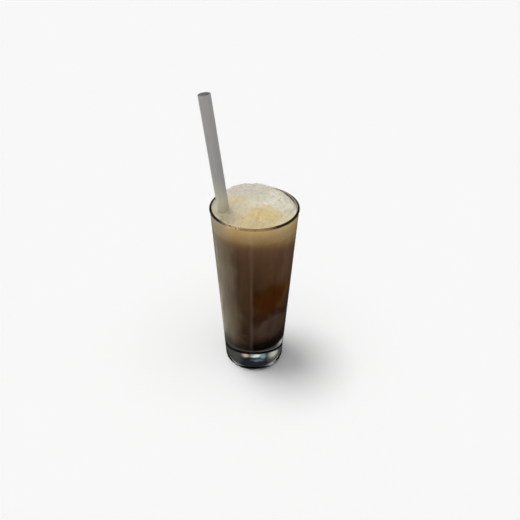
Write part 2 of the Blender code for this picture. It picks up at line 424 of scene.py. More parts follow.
def fine_bubbles(large):
    """Small bubbles between those, rows of x, y and radius: even over the disc, with radii that
    grow as the cube of a draw. The largest come first, and each keeps off those before it."""
    foam = bpy.context.scene.float_foam
    draw = np.random.default_rng(foam.seed)
    tries = foam.fine_bubbles * FINE_TRIES
    turn = draw.uniform(0, math.tau, tries)
    out = np.sqrt(draw.random(tries)) * inner_radius(HEIGHT)
    radius = FINE_SMALL + FINE_GROWTH * draw.random(tries) ** 3
    rows = np.stack([out * np.cos(turn), out * np.sin(turn), radius], 1)
    rows = rows[np.argsort(-rows[:, 2])]
    everything = np.concatenate([large, rows])
    offset = rows[:, None, :2] - everything[None, :, :2]
    apart = np.hypot(offset[..., 0], offset[..., 1])
    crowded = apart < FINE_OVERLAP * (rows[:, None, 2] + everything[None, :, 2])
    crowded &= np.arange(len(everything))[None] < np.arange(len(rows))[:, None] + len(large)
    off_wall = distance_from(rows) < inner_radius(HEIGHT) - rows[:, 2] - FINE_WALL_ROOM
    room = bpy.context.scene.float_straw.radius + FINE_STRAW_ROOM
    off_straw = distance_from(rows, straw_at(HEIGHT)[:2]) > room
    return rows[~crowded.any(1) & off_wall & off_straw][: foam.fine_bubbles]


def all_bubbles():
    """Large and fine bubbles together."""
    large = large_bubbles()
    return np.concatenate([large, fine_bubbles(large)])


def foam_relief(x, y):
    """What the foam's skin adds to the solid's height, and the bowls' share of it: froth in two
    sizes of plane waves, a bowl under each bubble that is its radius times one less the squared
    share of it, and a climb at the wall and at the straw that falls off as an exponential."""
    draw = np.random.default_rng(bpy.context.scene.float_foam.seed + 1)
    froth = sum(
        height * plane_waves(x, y, spacing, count, draw) for height, spacing, count in FROTH_WAVES
    )
    bowls = np.zeros_like(x)
    for cx, cy, radius in all_bubbles():
        share = ((x - cx) ** 2 + (y - cy) ** 2) / radius**2
        bowls = np.maximum(bowls, BOWL_DEPTH * radius * (1 - share))
    from_wall = inner_radius(HEIGHT) - np.hypot(x, y)
    at_wall = WALL_CLIMB * np.exp(-from_wall / WALL_CLIMB_REACH)
    straw = straw_at(HEIGHT)
    from_straw = np.hypot(x - straw[0], y - straw[1]) - bpy.context.scene.float_straw.radius
    reach = np.maximum(from_straw, 0) / STRAW_CLIMB_REACH
    at_straw = STRAW_CLIMB * np.exp(-(reach**STRAW_CLIMB_POWER))
    return froth - bowls + at_wall + at_straw, bowls


def disc_grid(count):
    """A square grid bent so that each of its squares round the middle becomes a circle: the
    larger coordinate is the radius, and the ratio of the two is the angle."""
    side = np.linspace(-1, 1, count + 1)
    a, b = np.meshgrid(side, side)
    wide = np.abs(a) > np.abs(b)
    long, short = np.where(wide, a, b), np.where(wide, b, a)
    turn = math.pi / 4 * short / np.where(long == 0, 1, long)
    near, far = long * np.cos(turn), long * np.sin(turn)
    return np.where(wide, near, far), np.where(wide, far, near)


def border_ring(count):
    """Vertex numbers of a square grid's border, anticlockwise from its lowest corner."""
    number = np.arange((count + 1) ** 2).reshape(count + 1, count + 1)
    return np.concatenate([number[0, :-1], number[:-1, -1], number[-1, :0:-1], number[:0:-1, 0]])


def head_mesh():
    """Points, quads and triangles of the head, and how deep in a bubble's bowl each point is: a
    disc grid lifted to the foam's height, a wall down the glass, and a fan below."""
    reach = bpy.context.scene.float_soda.reach
    u, v = disc_grid(HEAD_GRID)
    top_radius = inner_radius(HEIGHT - bpy.context.scene.float_foam.edge_drop) + reach
    x, y = u * top_radius, v * top_radius
    relief, bowls = foam_relief(x, y)
    top = np.stack([x, y, head_top(x, y) + relief], -1).reshape(-1, 3)
    ring = border_ring(HEAD_GRID)
    edge = top[ring]
    turn = np.arctan2(edge[:, 1], edge[:, 0])
    share = np.linspace(0, 1, WALL_ROWS + 1)[1:, None]
    z = edge[:, 2] * (1 - share) + HEAD_UNDERSIDE * share
    radius = inner_radius(z) + reach
    wall = np.stack([radius * np.cos(turn), radius * np.sin(turn), z], -1)
    pole = np.array([[0.0, 0.0, HEAD_UNDERSIDE]])
    points = np.concatenate([top, wall.reshape(-1, 3), pole])
    number = np.arange((HEAD_GRID + 1) ** 2).reshape(HEAD_GRID + 1, -1)
    cap = np.stack([number[:-1, :-1], number[:-1, 1:], number[1:, 1:], number[1:, :-1]], -1)
    first = len(top) + np.arange(len(ring))
    skirt = np.stack([ring, first, np.roll(first, -1), np.roll(ring, -1)], -1)
    wall_quads = row_quads(WALL_ROWS, len(ring), first=len(top))
    quads = np.concatenate([cap.reshape(-1, 4), skirt, wall_quads])
    last = first + (WALL_ROWS - 1) * len(ring)
    triangles = fan(len(points) - 1, last, facing_down=True)
    depth = np.concatenate([bowls.reshape(-1), np.zeros(len(points) - len(top))])
    return points, quads, triangles, depth


def bubble_mesh():
    """Points and faces of all bubbles: each a ball's cap, with its centre as deep under the foam
    as the solid's, from the crown down to inside its bowl, closed by a flat fan."""
    rows = all_bubbles()
    radius = rows[:, 2]
    height = head_top(rows[:, 0], rows[:, 1]) - radius * BUBBLE_SINK
    centre = np.stack([rows[:, 0], rows[:, 1], height], 1)
    fall = np.linspace(*BUBBLE_FALL, BUBBLE_ROWS)
    ball = turned_rows(np.stack([np.sin(fall), np.cos(fall)], 1), BUBBLE_SIDES).reshape(-1, 3)
    unit = np.concatenate([ball, [[0, 0, 1], [0, 0, math.cos(fall[-1])]]])
    points = centre[:, None] + unit[None] * radius[:, None, None]
    quads, triangles = turned_faces(BUBBLE_ROWS, BUBBLE_SIDES)
    shift = (np.arange(len(rows)) * len(unit))[:, None, None]
    return points, (quads + shift).reshape(-1, 4), (triangles + shift).reshape(-1, 3)


# Material nodes


def set_input(tree, socket, value):
    """Links an output to the socket, or sets the socket. A colour's three numbers get an alpha."""
    if isinstance(value, bpy.types.NodeSocket):
        tree.links.new(value, socket)
    elif socket.type == "RGBA":
        socket.default_value = (*value, 1.0)
    else:
        socket.default_value = value


def add_node(tree, kind, settings=None, **inputs):
    """A shader node with its settings, and its inputs linked or set. An input's name has _ for
    each space, and i with a number picks the socket by its place."""
    node = tree.nodes.new("ShaderNode" + kind)
    for key, value in (settings or {}).items():
        setattr(node, key, value)
    for key, value in inputs.items():
        by_place = key[0] == "i" and key[1:].isdigit()
        socket = node.inputs[int(key[1:]) if by_place else key.replace("_", " ")]
        set_input(tree, socket, value)
    return node


def new_material(name):
    """An empty node material and its tree."""
    material = bpy.data.materials.new(name)
    material.use_nodes = True
    material.node_tree.nodes.clear()
    return material, material.node_tree


def finished(material, shader):
    """The material with this shader as its surface."""
    add_node(material.node_tree, "OutputMaterial", Surface=shader.outputs[0])
    return material


def mix_shader(tree, share, first, second):
    """A share of the second shader, and the first for the rest."""
    return add_node(tree, "MixShader", i0=share, i1=first.outputs[0], i2=second.outputs[0])


def object_place(tree):
    """The place on the piece, in metres."""
    return add_node(tree, "TexCoord").outputs["Object"]


def coordinate(tree, place, axis):
    """One coordinate of a place."""
    return add_node(tree, "SeparateXYZ", Vector=place).outputs[axis]


def attribute(tree, name):
    """A number that the mesh keeps at its vertices."""
    return add_node(tree, "Attribute", {"attribute_name": name}).outputs["Fac"]


def noise(tree, place, scale, detail=3.0, stretch=(1, 1, 1)):
    """Cloudy noise from 0 to 1, with features about 1/scale metres across, stretched."""
    mapped = add_node(tree, "Mapping", Vector=place, Scale=stretch).outputs["Vector"]
    return add_node(tree, "TexNoise", Vector=mapped, Scale=scale, Detail=detail).outputs["Fac"]


def between(tree, value, low, high, to_low=0.0, to_high=1.0, kind="SMOOTHSTEP"):
    """A step from to_low to to_high, smooth or straight, as the value goes from low to high. Low
    may be the larger of those two."""
    return add_node(
        tree, "MapRange", {"interpolation_type": kind}, Value=value,
        From_Min=low, From_Max=high, To_Min=to_low, To_Max=to_high,
    ).outputs["Result"]


def maths(tree, operation, first, second=0.0, third=0.0):
    """One Math node."""
    node = add_node(tree, "Math", {"operation": operation}, i0=first, i1=second, i2=third)
    return node.outputs[0]


def vector_maths(tree, operation, first, second=(0.0, 0.0, 0.0), output="Vector"):
    """One Vector Math node."""
    node = add_node(tree, "VectorMath", {"operation": operation}, i0=first, i1=second)
    return node.outputs[output]


def mix_colour(tree, factor, first, second, blend="MIX"):
    """One colour laid over another."""
    settings = {"data_type": "RGBA", "blend_type": blend}
    return add_node(tree, "Mix", settings, i0=factor, i6=first, i7=second).outputs[2]


def ramp(tree, value, stops):
    """A colour ramp with stops (place, colour)."""
    node = add_node(tree, "ValToRGB", Fac=value)
    elements = node.color_ramp.elements
    while len(elements) < len(stops):
        elements.new(0.5)
    for element, (place, colour) in zip(elements, stops):
        element.position = place
        element.color = (*colour, 1.0)
    return node.outputs["Color"]


def blob(tree, place, centre, radii, soft=0.5, tilt=0.0):
    """A mask that is 1 inside an ellipsoid, tilted about Y, and fades to 0 across its surface."""
    mapped = add_node(
        tree, "Mapping", {"vector_type": "TEXTURE"}, Vector=place, Location=centre,
        Rotation=(0.0, math.radians(tilt), 0.0), Scale=radii,
    ).outputs["Vector"]
    distance = vector_maths(tree, "LENGTH", mapped, output="Value")
    return between(tree, distance, 1 - soft, 1 + soft, 1.0, 0.0)


def patched(tree, colour, place, settings, patches):
    """The colour with soft patches laid over it in turn. Each patch is a setting's name, a
    strength, a centre and radii, and may have a softness and a tilt in degrees."""
    for shade, strength, *form in patches:
        mask = maths(tree, "MULTIPLY", blob(tree, place, *form), strength)
        colour = mix_colour(tree, mask, colour, getattr(settings, shade))
    return colour


def warped(tree, place, scale, amount):
    """The place moved about by coloured noise, at most half of amount each way."""
    colour = add_node(tree, "TexNoise", Vector=place, Scale=scale, Detail=2.0).outputs["Color"]
    centred = vector_maths(tree, "SUBTRACT", colour, (0.5, 0.5, 0.5))
    scaled = add_node(tree, "VectorMath", {"operation": "SCALE"}, i0=centred, Scale=amount)
    return vector_maths(tree, "ADD", place, scaled.outputs[0])


# Colours by depth, which soda and foam share where they lie against the wall

HANG = 0.010
HANG_SIDE = (0.006, 0.034)
HANG_RISE = (0.115, 0.145)
HANG_FADE = (0.168, 0.150)
HANG_LEFT_AT_RIM = 0.2
RAMP_LOW, RAMP_HIGH = 0.020, 0.176
DEPTH_STOPS = (
    (0.028, (0.008, 0.005, 0.003)),
    (0.036, (0.012, 0.007, 0.005)),
    (0.042, (0.050, 0.022, 0.015)),
    (0.048, (0.100, 0.045, 0.027)),
    (0.058, (0.125, 0.068, 0.042)),
    (0.070, (0.105, 0.046, 0.024)),
    (0.078, (0.135, 0.062, 0.028)),
    (0.100, (0.165, 0.085, 0.040)),
    (0.120, (0.190, 0.097, 0.047)),
    (0.136, (0.215, 0.112, 0.056)),
    (0.146, (0.265, 0.146, 0.080)),
    (0.151, (0.320, 0.178, 0.090)),
    (0.155, (0.450, 0.270, 0.115)),
    # From here up the foam's side brightens towards the rim: partly its cream tone, partly painted
    # glow of light entering the foam from above.
    (0.160, (0.700, 0.460, 0.200)),
    (0.166, (0.860, 0.630, 0.300)),
    (0.172, (0.980, 0.810, 0.450)),
)


def depth_colour(tree, place):
    """The colour at each height from the dark bottom through the soda to the creamy foam, which
    brightens towards the rim partly as painted glow of light entering the foam from above. On the
    right the foam's colours hang lower, most of all where the foam meets the soda."""
    swirled = add_node(tree, "SeparateXYZ", Vector=warped(tree, place, 60, 0.006)).outputs
    right = between(tree, swirled["X"], *HANG_SIDE, 0.0, HANG)
    rise = between(tree, swirled["Z"], *HANG_RISE)
    fade = between(tree, swirled["Z"], *HANG_FADE, HANG_LEFT_AT_RIM, 1.0)
    height = maths(tree, "MULTIPLY_ADD", right, maths(tree, "MULTIPLY", rise, fade), swirled["Z"])
    share = between(tree, height, RAMP_LOW, RAMP_HIGH, kind="LINEAR")
    stops = [((z - RAMP_LOW) / (RAMP_HIGH - RAMP_LOW), colour) for z, colour in DEPTH_STOPS]
    return ramp(tree, share, stops)


# Glass: where the painted dark line on its lip, which stands in for the dark surroundings that the
# lip bends into view, is painted paler, as centre, radii and softness, and how far below the rim
# and inside its radius that line sets in and is full

PAINTED_LIP_FRONT = ((-0.008, -0.045, 0.172), (0.022, 0.022, 0.020), 0.35)
PAINTED_LIP_BACK = ((0.018, 0.038, 0.172), (0.022, 0.024, 0.020), 0.30)
BEAD_BELOW_RIM = (0.0027, 0.0014)
BEAD_INSIDE_RIM = (0.0024, 0.0016)
WHITE = (1.0, 1.0, 1.0)
BEAD_GLOSS = (0.06, 0.06, 0.06)
SHADOW_TINT = (0.96, 0.97, 0.965)


def painted_lip_line_mask(tree, place):
    """A mask for the lip's painted dark line: 1 on the bead's outer side, near the rim's height and
    near its radius.
    """
    heights = [HEIGHT - below for below in BEAD_BELOW_RIM]
    radii = [RIM_RADIUS - inside for inside in BEAD_INSIDE_RIM]
    level = vector_maths(tree, "MULTIPLY", place, (1.0, 1.0, 0.0))
    radius = vector_maths(tree, "LENGTH", level, output="Value")
    high = between(tree, coordinate(tree, place, "Z"), *heights)
    return maths(tree, "MULTIPLY", high, between(tree, radius, *radii))


def clear_glass():
    """Clear glass with faint waves of the mould and a painted dark line along the bead's outer
    side, standing in for the dark surroundings that the lip bends into view, painted paler in front
    and at the back right. It lets the lamps' rays through."""
    settings = bpy.context.scene.float_tumbler
    material, tree = new_material("clear_glass")
    place = object_place(tree)
    waves = noise(tree, place, 45, detail=1.0, stretch=(1, 1, 0.35))
    bump = add_node(tree, "Bump", Strength=0.05, Distance=0.0004, Height=waves).outputs["Normal"]
    haze = between(tree, noise(tree, place, 220), 0.45, 0.75, 0.0, 0.03)
    lip = mix_colour(tree, blob(tree, place, *PAINTED_LIP_FRONT), settings.lip, settings.painted_lip_front)
    lip = mix_colour(tree, blob(tree, place, *PAINTED_LIP_BACK), lip, settings.painted_lip_back)
    bead = painted_lip_line_mask(tree, place)
    glass = add_node(
        tree, "BsdfPrincipled", Base_Color=mix_colour(tree, bead, settings.tint, lip),
        Roughness=haze, IOR=1.50, Transmission_Weight=1.0,
        Specular_Tint=mix_colour(tree, bead, WHITE, BEAD_GLOSS), Normal=bump,
    )
    passing = add_node(tree, "BsdfTransparent", Color=SHADOW_TINT)
    shadow = add_node(tree, "LightPath").outputs["Is Shadow Ray"]
    return finished(material, mix_shader(tree, shadow, glass, passing))


# Soda

WISP_SHARE = 0.5
WISP_STOPS = ((0.34, (0.55, 0.52, 0.49)), (0.50, (0.94, 0.94, 0.94)), (0.66, WHITE))
SODA_CLOUDS = (
    # The first four rows are partly painted light: they make the soda's left side paler.
    ("milk_and_painted_light", 0.72, (-0.036, -0.008, 0.090), (0.026, 0.040, 0.064), 0.50, 0),
    ("milk_and_painted_light", 0.45, (-0.018, -0.023, 0.060), (0.010, 0.012, 0.022), 0.45, 0),
    ("milk_and_painted_light", 0.22, (-0.013, -0.026, 0.042), (0.010, 0.012, 0.010), 0.60, 0),
    ("milk_and_painted_light", 0.40, (-0.0195, -0.029, 0.122), (0.003, 0.010, 0.022), 0.60),
    ("cloud", 0.40, (-0.0145, -0.030, 0.126), (0.0035, 0.010, 0.020), 0.60),
    ("cloud", 0.50, (-0.020, -0.025, 0.092), (0.0085, 0.011, 0.016), 0.60),
    ("rose", 0.60, (0.0255, -0.020, 0.130), (0.011, 0.015, 0.023), 0.60),
    ("honey", 0.90, (0.0235, -0.021, 0.094), (0.010, 0.012, 0.014), 0.55),
    ("dregs", 0.70, (0.013, -0.029, 0.0735), (0.015, 0.012, 0.0055), 0.50, -10),
    ("amber", 0.80, (0.015, -0.029, 0.097), (0.016, 0.014, 0.010), 0.50),
    ("amber", 1.00, (0.013, -0.030, 0.089), (0.0128, 0.015, 0.0165), 0.42),
    ("veil", 0.75, (0.019, -0.025, 0.061), (0.018, 0.016, 0.0125), 0.26, -16),
    ("cloud", 0.90, (0.020, -0.025, 0.056), (0.019, 0.017, 0.0125), 0.38, -16),
    ("amber", 0.80, (-0.006, 0.031, 0.086), (0.018, 0.014, 0.022), 0.30, 0),
    ("cloud", 0.85, (-0.012, 0.027, 0.050), (0.020, 0.018, 0.017), 0.20, 12),
    ("rose", 0.50, (0.018, 0.028, 0.128), (0.016, 0.014, 0.018), 0.50, 0),
)


def cloudy_soda():
    """Dark soda with milk sinking through it: colour by depth, an amber pocket, pale clouds, a
    paler left side that is partly painted light, and fine upright wisps."""
    material, tree = new_material("cloudy_soda")
    place = object_place(tree)
    swirled = warped(tree, warped(tree, place, 38, 0.018), 150, 0.007)
    settings = bpy.context.scene.float_soda
    colour = patched(tree, depth_colour(tree, place), swirled, settings, SODA_CLOUDS)
    wisps = ramp(tree, noise(tree, place, 130, stretch=(1, 1, 0.10)), WISP_STOPS)
    colour = mix_colour(tree, WISP_SHARE, colour, wisps, "MULTIPLY")
    shader = add_node(
        tree, "BsdfPrincipled", Base_Color=colour, Roughness=0.6, Specular_IOR_Level=0.0
    )
    return finished(material, shader)


# Foam

IVORY_FADE = (0.020, -0.012)
MOTTLE_SHARE = 0.45
MOTTLE_STOPS = ((0.35, (0.84, 0.82, 0.78)), (0.50, (0.97, 0.97, 0.96)), (0.62, WHITE))
RING_FADE = (0.0, 0.012)
RING_SHARE = 0.5
RING_STOPS = ((0.0, (0.80, 0.79, 0.77)), (0.35, (0.96, 0.96, 0.95)), (1.0, WHITE))
RINGS_PER_UNIT = 20
CELL_SCALE, SMALL_CELL_SCALE = 850, 1900
FROTH_STOPS = ((0.0, WHITE), (0.45, (0.96, 0.95, 0.93)), (0.85, (0.60, 0.55, 0.45)))
SPECKLE_ON_SKIN, SPECKLE_AT_WALL = 0.12, 0.20
BOWL_DEPTHS = (0.0001, 0.0007)
BOWL_SHARE = 0.28
# Where the foam's side is painted greyer on the left, partly painted light on that side.
SHADE_SIDE = (-0.020, -0.034)
SHADE_SHARE = 0.65
GLOW_RISE = (0.1590, 0.1680)
GLOW_SHARE = 0.75
FOAM_PATCHES = (
    ("froth", 0.80, (0.0240, 0.0020, 0.1760), (0.0140, 0.0200, 0.0150)),
    ("froth", 0.50, (0.0040, -0.0060, 0.1780), (0.0090, 0.0060, 0.0120)),
    ("butter", 0.85, (0.0080, -0.0210, 0.1760), (0.0150, 0.0110, 0.0150)),
    ("butter", 0.55, (-0.0080, -0.0280, 0.1730), (0.0120, 0.0080, 0.0120)),
    ("butter", 0.45, (-0.0160, 0.0030, 0.1770), (0.0070, 0.0060, 0.0120)),
    ("butter", 0.30, (0.0260, -0.0150, 0.1730), (0.0090, 0.0090, 0.0120)),
    ("butter", 0.50, (0.0020, -0.0330, 0.1710), (0.0130, 0.0050, 0.0100)),
    ("puddle", 0.35, (0.0000, -0.0335, 0.1710), (0.0220, 0.0060, 0.0100)),
    ("puddle", 0.85, (-0.0235, -0.0235, 0.1720), (0.0080, 0.0075, 0.0100)),
    ("puddle", 0.20, (-0.0300, -0.0120, 0.1720), (0.0060, 0.0110, 0.0100)),
)


def foam_skin(tree, place, swirled, speckle):
    """The head's skin: cream at the back and ivory in front, patches, mottles, rings on its back,
    speckles, and butter in the bubbles' bowls."""
    settings = bpy.context.scene.float_foam
    across = coordinate(tree, warped(tree, place, 90, 0.010), "Y")
    skin = mix_colour(tree, between(tree, across, *IVORY_FADE), settings.cream, settings.ivory)
    skin = patched(tree, skin, swirled, settings, FOAM_PATCHES)
    mottle = ramp(tree, noise(tree, place, 260, detail=4.0), MOTTLE_STOPS)
    skin = mix_colour(tree, MOTTLE_SHARE, skin, mottle, "MULTIPLY")
    rings = add_node(
        tree, "TexWave", {"wave_type": "RINGS", "rings_direction": "Z"},
        Vector=vector_maths(tree, "SUBTRACT", place, (*RIPPLE_CENTRE, 0)),
        Scale=math.tau / (RINGS_PER_UNIT * RIPPLE_SPACING),
        Distortion=1.2, Detail=1.0, Detail_Scale=2.0,
    ).outputs["Fac"]
    behind = between(tree, across, *RING_FADE, 0.0, RING_SHARE)
    skin = mix_colour(tree, behind, skin, ramp(tree, rings, RING_STOPS), "MULTIPLY")
    skin = mix_colour(tree, SPECKLE_ON_SKIN, skin, speckle, "MULTIPLY")
    bowl = between(tree, attribute(tree, "bowl"), *BOWL_DEPTHS, 0.0, BOWL_SHARE)
    return mix_colour(tree, bowl, skin, settings.butter)


def foam_side(tree, place, swirled, speckle):
    """The head against the wall: the colours by depth, greyer on the left, which is partly painted
    light like the soda's paler left side, with speckles.
    """
    left = between(tree, coordinate(tree, swirled, "X"), *SHADE_SIDE, 0.0, SHADE_SHARE)
    shade = bpy.context.scene.float_foam.shade
    layered = mix_colour(tree, left, depth_colour(tree, place), shade)
    return mix_colour(tree, SPECKLE_AT_WALL, layered, speckle, "MULTIPLY")


def cream_foam():
    """Cream foam: its skin on top and its side against the wall, raised by froth cells of two
    sizes. Light passes into its upper part."""
    material, tree = new_material("cream_foam")
    place = object_place(tree)
    cells, small_cells = [
        add_node(tree, "TexVoronoi", Vector=place, Scale=scale).outputs["Distance"]
        for scale in (CELL_SCALE, SMALL_CELL_SCALE)
    ]
    layers = (tree, place, warped(tree, place, 110, 0.008), ramp(tree, cells, FROTH_STOPS))
    wall = between(tree, attribute(tree, "wall"), 0.2, 0.8)
    colour = mix_colour(tree, wall, foam_skin(*layers), foam_side(*layers))
    froth = maths(tree, "ADD", cells, maths(tree, "MULTIPLY", small_cells, 0.5))
    bump = add_node(tree, "Bump", Strength=0.20, Distance=0.0003, Height=froth).outputs["Normal"]
    glow = between(tree, coordinate(tree, place, "Z"), *GLOW_RISE, 0.0, GLOW_SHARE)
    shader = add_node(
        tree, "BsdfPrincipled", Base_Color=colour, Roughness=0.45, Normal=bump,
        Subsurface_Weight=glow, Subsurface_Radius=(1.0, 0.75, 0.45), Subsurface_Scale=0.004,
    )
    return finished(material, shader)


# Bubbles

FILM_TONES = ((0.88, 0.80, 0.58), (0.92, 0.88, 0.76))
FILM_CLEAR = (1.0, 0.985, 0.94)
FILM_EDGE = (0.25, 1.0)
FILM_SHARES = (0.02, 0.24)


def bubble_film():
    """A bubble's thin film: see-through in its middle, cream and shiny towards its edge."""
    material, tree = new_material("bubble_film")
    edge = add_node(tree, "LayerWeight", Blend=0.25).outputs["Facing"]
    tone = mix_colour(tree, noise(tree, object_place(tree), 300), *FILM_TONES)
    film = add_node(
        tree, "BsdfPrincipled", Base_Color=tone, Roughness=0.06, Specular_IOR_Level=0.5
    )
    clear = add_node(tree, "BsdfTransparent", Color=FILM_CLEAR)
    share = between(tree, edge, *FILM_EDGE, *FILM_SHARES)
    return finished(material, mix_shader(tree, share, clear, film))


# Plastic of the straw

STRAW_UPRIGHT = (0.013, 0.120, 0.0)
LINE_STOPS = ((0.3, (0.93, 0.93, 0.94)), (0.7, WHITE))
FOAM_TONE_AND_LIGHT_FALL = (0.212, 0.174)
THROUGH_FALL = (0.212, 0.176)
THROUGH_SHARES = (0.35, 0.12)


def frosted_plastic():
    """Frosted see-through plastic: a satin skin over plastic that passes light, less of it and
    with the foam's tone low down, where it is also painted brighter as lit by the foam around it,
    and fine lines drawn along the tube."""
    settings = bpy.context.scene.float_straw
    material, tree = new_material("frosted_plastic")
    place = object_place(tree)
    upright = add_node(tree, "Mapping", Vector=place, Rotation=STRAW_UPRIGHT).outputs["Vector"]
    lines = noise(tree, upright, 900, detail=2.0, stretch=(1, 1, 0.02))
    height = coordinate(tree, warped(tree, place, 120, 0.006), "Z")
    low = between(tree, height, *FOAM_TONE_AND_LIGHT_FALL)
    frost = mix_colour(tree, low, settings.frost, settings.foam_tone_and_painted_light)
    colour = mix_colour(tree, 1.0, frost, ramp(tree, lines, LINE_STOPS), "MULTIPLY")
    bump = add_node(tree, "Bump", Strength=0.15, Distance=0.0001, Height=lines).outputs["Normal"]
    skin = add_node(tree, "BsdfPrincipled", Base_Color=colour, Roughness=0.42, Normal=bump)
    through = add_node(tree, "BsdfTranslucent", Color=colour)
    share = between(tree, height, *THROUGH_FALL, *THROUGH_SHARES)
    return finished(material, mix_shader(tree, share, skin, through))


# Floor: the directions of the light side and the light strip that the glass mirrors, with the
# cosines at which each sets in and is full, and the lights of both and of the floor under the base

LIGHT_SIDE, SIDE_COSINES, SIDE_LIGHT = (-0.984, 0.18, 0.0), (0.45, 1.0), 0.68
LIGHT_STRIP, STRIP_COSINES, STRIP_LIGHT = (-0.125, -0.992, 0.0), (0.9950, 0.9995), 0.48
SIDE_TINT, STRIP_TINT = (0.99, 0.98, 0.81), (1.0, 0.55, 0.35)
NOISE_RANGE = (0.35, 0.65)
STREAK_RANGE = (0.60, 1.35)
PATCH_RANGE = (0.72, 1.18)
MIRROR_START = (0.040, 0.070)
MIRROR_LEAST = 0.03
BASE_SIDE = (-0.002, -0.007)
BASE_LIGHTS = (0.04, 0.45)


def mirrored_light(tree, place):
    """What the glass mirrors of the floor: light on the left with streaks and patches, one narrow
    strip in front, and near dark for the rest and close to the foot. The light of each falls off
    with the angle from its direction."""
    way = vector_maths(tree, "NORMALIZE", place)
    facing = vector_maths(tree, "DOT_PRODUCT", way, LIGHT_SIDE, "Value")
    strip = vector_maths(tree, "DOT_PRODUCT", way, LIGHT_STRIP, "Value")
    side = between(tree, facing, *SIDE_COSINES, 0.0, SIDE_LIGHT)
    line = between(tree, strip, *STRIP_COSINES, 0.0, STRIP_LIGHT)
    streaks = between(tree, noise(tree, way, 45, detail=2.0), *NOISE_RANGE, *STREAK_RANGE)
    patches = between(tree, noise(tree, place, 28, detail=2.0), *NOISE_RANGE, *PATCH_RANGE)
    lights = maths(tree, "MULTIPLY_ADD", side, maths(tree, "MULTIPLY", streaks, patches), line)
    away = between(tree, vector_maths(tree, "LENGTH", place, output="Value"), *MIRROR_START)
    light = maths(tree, "MULTIPLY_ADD", lights, away, MIRROR_LEAST)
    tint = mix_colour(tree, line, SIDE_TINT, STRIP_TINT)
    return add_node(tree, "Emission", Color=tint, Strength=light)


def pale_floor():
    """A plain pale floor. Rays that the glass mirrors see its mirrored light instead. Rays that
    go through the glass see it dim, and brighter to the left of the axis, which the base shows on
    its right."""
    material, tree = new_material("pale_floor")
    place = object_place(tree)
    pale = add_node(tree, "BsdfDiffuse", Color=bpy.context.scene.float_stage.floor_colour)
    path = add_node(tree, "LightPath").outputs
    mirrored = maths(tree, "MULTIPLY", path["Is Glossy Ray"], path["Is Reflection Ray"])
    mixed = mix_shader(tree, mirrored, pale, mirrored_light(tree, place))
    beyond = between(tree, coordinate(tree, place, "X"), *BASE_SIDE, *BASE_LIGHTS)
    dim = add_node(tree, "Emission", Strength=beyond)
    straight = maths(tree, "LESS_THAN", path["Diffuse Depth"], 0.5)
    through = maths(tree, "MULTIPLY", path["Is Transmission Ray"], straight)
    return finished(material, mix_shader(tree, through, mixed, dim))


# Operators of the pieces


def set_attribute(mesh, name, values):
    """A number kept at each vertex."""
    mesh.attributes.new(name, "FLOAT", "POINT").data.foreach_set("value", values.astype(np.float32))


class FLOAT_OT_tumbler(bpy.types.Operator):
    """Turns the clear tumbler with its bead, thick base and rounded heel"""

    bl_idname = "float.tumbler"
    bl_label = "Tumbler"

    def execute(self, context):
        """Builds the piece."""
        profile = spaced(tumbler_profile(), PROFILE_STEP)
        piece = turned_piece("clear_tumbler", profile, TUMBLER_COLUMNS, "glass", ["glass"])
        piece.data.materials.append(clear_glass())
        return {"FINISHED"}


class FLOAT_OT_soda(bpy.types.Operator):
    """Turns the soda, which reaches just into the tumbler's wall"""

    bl_idname = "float.soda"
    bl_label = "Soda"

    def execute(self, context):
        """Builds the piece."""
        profile = spaced(soda_profile(), PROFILE_STEP)
        piece = turned_piece("cloudy_soda", profile, SODA_COLUMNS, "drink", ["drink"])
        piece.data.materials.append(cloudy_soda())
        return {"FINISHED"}


class FLOAT_OT_head(bpy.types.Operator):
    """Shapes the foam head, its froth and the bowls under its bubbles"""

    bl_idname = "float.head"
    bl_label = "Foam head"

    def execute(self, context):
        """Builds the piece."""
        points, quads, triangles, bowls = head_mesh()
        piece = mesh_piece("cream_head", points, quads, triangles, "foam", ["foam_head"])
        rim = inner_radius(points[:, 2]) + context.scene.float_soda.reach
        wall = distance_from(points) > rim - WALL_TOLERANCE
        set_attribute(piece.data, "bowl", bowls)
        set_attribute(piece.data, "wall", wall)
        piece.data.materials.append(cream_foam())
        return {"FINISHED"}


class FLOAT_OT_bubbles(bpy.types.Operator):
    """Sets the standing bubbles over their bowls"""

    bl_idname = "float.bubbles"
    bl_label = "Bubbles"

    def execute(self, context):
        """Builds the piece."""
        piece = mesh_piece("head_bubbles", *bubble_mesh(), "foam")
        piece.data.materials.append(bubble_film())
        return {"FINISHED"}


class FLOAT_OT_straw(bpy.types.Operator):
    """Carries the straw's section along its leaning axis"""

    bl_idname = "float.straw"
    bl_label = "Straw"

    def execute(self, context):
        """Builds the piece."""
        rows = straw_rows()
        quads = row_quads(len(rows), STRAW_COLUMNS, wrap_rows=True)
        piece = mesh_piece("frosted_straw", rows, quads, np.empty((0, 3), int), "straw", ["straw"])
        piece.data.materials.append(frosted_plastic())
        return {"FINISHED"}


# The stage. A sky window is a centre, radii, a colour and a softness.

